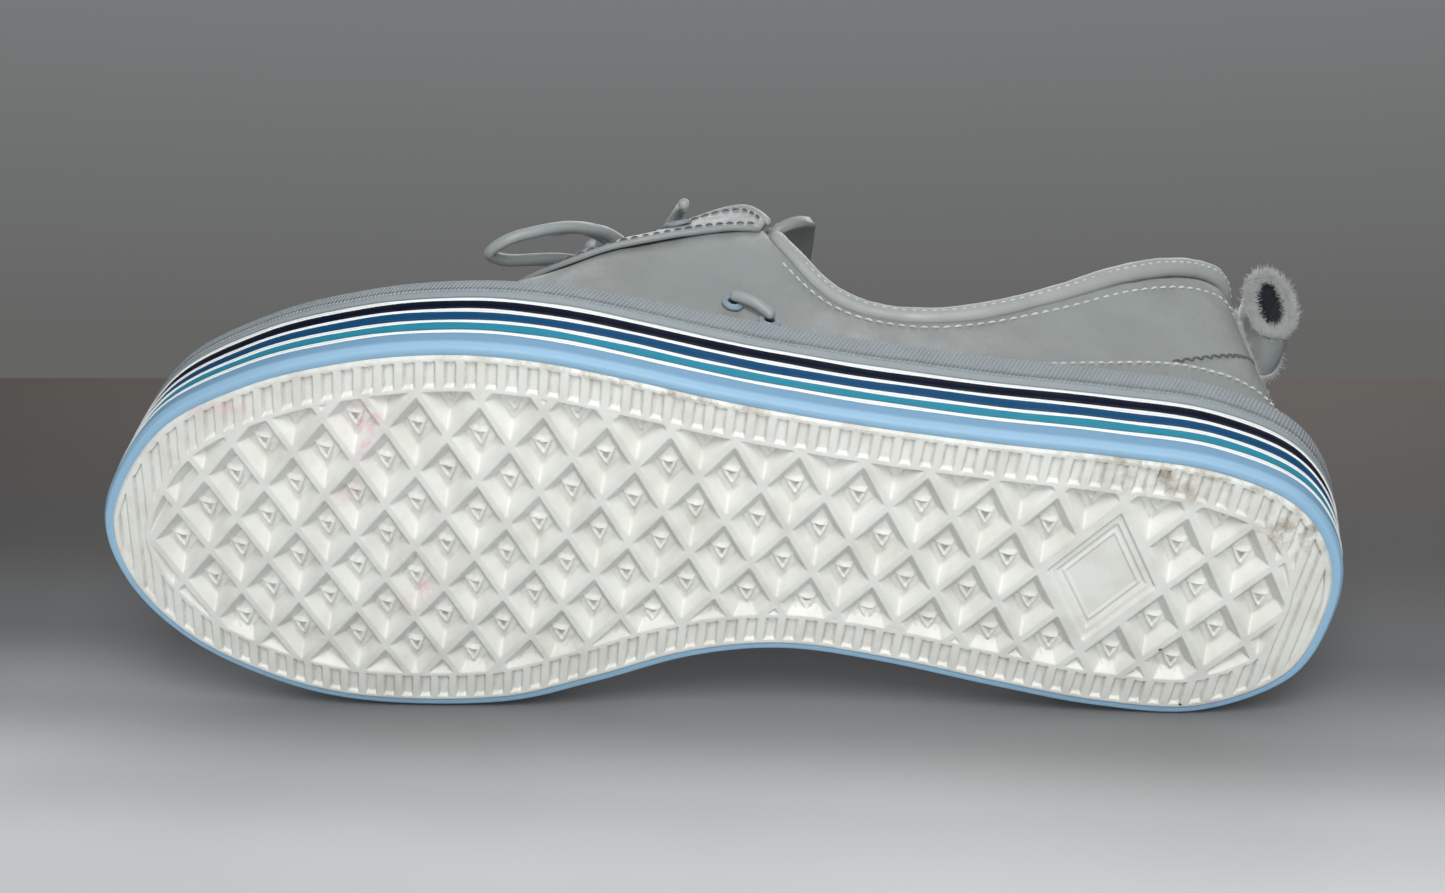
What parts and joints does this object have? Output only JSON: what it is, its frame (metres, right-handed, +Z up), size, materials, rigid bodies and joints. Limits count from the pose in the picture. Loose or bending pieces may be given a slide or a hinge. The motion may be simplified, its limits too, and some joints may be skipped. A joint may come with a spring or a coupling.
{
  "type": "platform boat sneaker",
  "caption": "Low lace-up deck sneaker for one left foot, with a layered striped rubber platform, lattice tread, leather upper, hinged tongue flap and heel pull loop",
  "frame": {"origin": "on the ground under the middle of the shoe's box", "axes": "+Z up from the ground, toe towards -Y, lateral side (the little toe's) towards +X"},
  "size_m": [0.1179, 0.2889, 0.106],
  "materials": {
    "white_rubber": "matt, slightly dirty",
    "stripe_rubber": "matt white",
    "sky_rubber": "matt",
    "teal_rubber": "matt",
    "blue_rubber": "matt",
    "navy_rubber": "matt",
    "smooth_rubber": "satin",
    "textured_rubber": "matt, finely textured",
    "grey_leather": "satin, smooth grain",
    "raw_edge_leather": "matt, raw fuzzy edge",
    "lining_fabric": "matt",
    "fibre_board": "matt",
    "white_foam": "matt foam",
    "stiffener": "matt",
    "eyelet_plastic": "satin",
    "lace_leather": "matt",
    "label_weave": "woven"
  },
  "bodies": {
    "shoe": {"backstay": "raw_edge_leather", "collar_roll": "grey_leather", "eyelet_lateral_front": "eyelet_plastic", "eyelet_lateral_rear": "eyelet_plastic", "eyelet_medial_front": "eyelet_plastic", "eyelet_medial_rear": "eyelet_plastic", "eyestay_lateral": "grey_leather", "eyestay_medial": "grey_leather", "footbed": "lining_fabric", "foxing_blue_band": "blue_rubber", "foxing_navy_band": "navy_rubber", "foxing_pinstripe_1": "stripe_rubber", "foxing_pinstripe_2": "stripe_rubber", "foxing_pinstripe_3": "stripe_rubber", "foxing_pinstripe_4": "stripe_rubber", "foxing_sky_band": "sky_rubber", "foxing_smooth_band": "smooth_rubber", "foxing_teal_band": "teal_rubber", "foxing_textured_band": "textured_rubber", "heel_counter": "stiffener", "insole_board": "fibre_board", "lace_crossbar": "lace_leather", "lace_knot": "lace_leather", "lace_loop_lateral": "lace_leather", "lace_loop_medial": "lace_leather", "lace_run_lateral": "lace_leather", "lace_run_medial": "lace_leather", "lace_tail_lateral": "lace_leather", "lace_tail_medial": "lace_leather", "midsole_core": "white_foam", "outsole": "white_rubber", "quarter_lateral": "grey_leather", "quarter_lining_lateral": "lining_fabric", "quarter_lining_medial": "lining_fabric", "quarter_medial": "grey_leather", "side_eyelet_lateral_front": "eyelet_plastic", "side_eyelet_lateral_rear": "eyelet_plastic", "side_eyelet_medial_front": "eyelet_plastic", "side_eyelet_medial_rear": "eyelet_plastic", "side_lace_lateral": "lace_leather", "side_lace_medial": "lace_leather", "toe_puff": "stiffener", "tongue_base": "grey_leather", "vamp": "grey_leather", "vamp_lining": "lining_fabric"},
    "tongue_flap": {"tongue_top": "grey_leather", "tongue_label": "label_weave"},
    "heel_loop": {"pull_loop": "raw_edge_leather"}
  },
  "joints": [
    {"name": "tongue_fold", "type": "hinge", "parent": "shoe", "child": "tongue_flap", "pos_m": [0.0177, -0.003, 0.0875], "axis": [1, 0, 0], "range_deg": [-12, 50]},
    {"name": "loop_fold", "type": "hinge", "parent": "shoe", "child": "heel_loop", "pos_m": [0.02793, 0.1275, 0.0785], "axis": [1, 0, 0], "range_deg": [-45, 0]}
  ]
}
